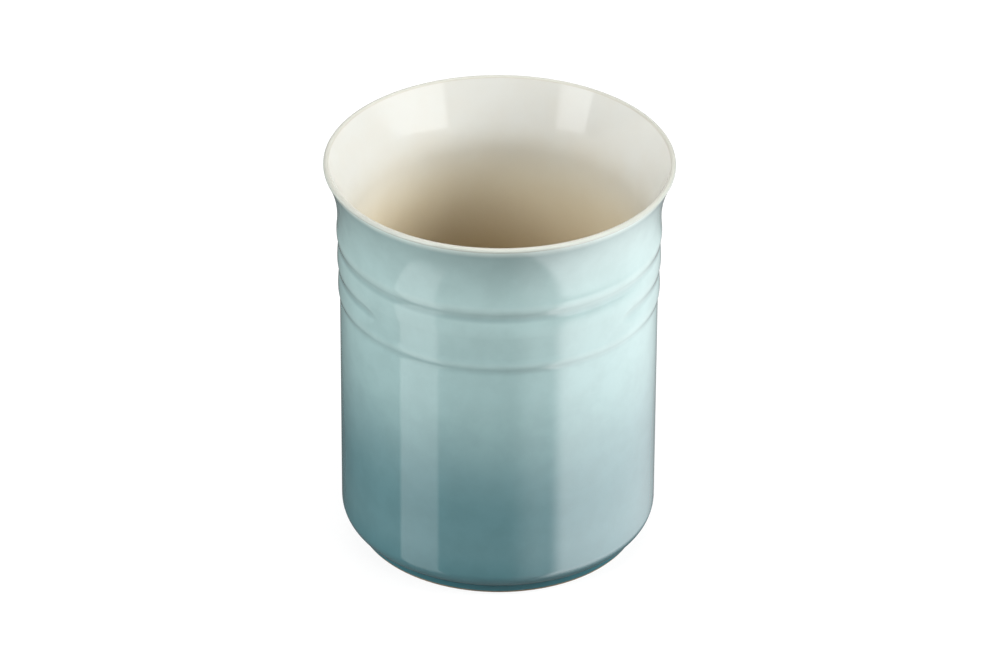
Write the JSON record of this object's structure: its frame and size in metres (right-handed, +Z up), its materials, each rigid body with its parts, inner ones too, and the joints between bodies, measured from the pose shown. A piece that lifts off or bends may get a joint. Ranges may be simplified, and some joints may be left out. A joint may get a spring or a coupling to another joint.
{
  "type": "utensil crock",
  "caption": "Cylindrical glazed stoneware crock with a flared rim, ring mouldings below it and a small stepped foot, open at the top to stand kitchen utensils in.",
  "frame": {"origin": "middle of the standing face, on the crock's axis at table level", "axes": "+Z up along the crock's axis; -Y is the front, where the smooth panel interrupts the middle groove; +X is to the right as seen from the front"},
  "size_m": [0.125, 0.125, 0.15],
  "materials": {
    "stoneware": "bare fired clay, matt",
    "outer_glaze": "glossy glaze, pale aqua at the rim running to deep teal at the foot",
    "rim_glaze": "glossy pale glaze on the lip",
    "inner_glaze": "glossy cream glaze",
    "base_glaze": "glossy teal glaze"
  },
  "bodies": {
    "root": {"stoneware_body": "stoneware", "outer_glaze": "outer_glaze", "rim_glaze": "rim_glaze", "inner_glaze": "inner_glaze", "base_glaze": "base_glaze"}
  },
  "joints": []
}
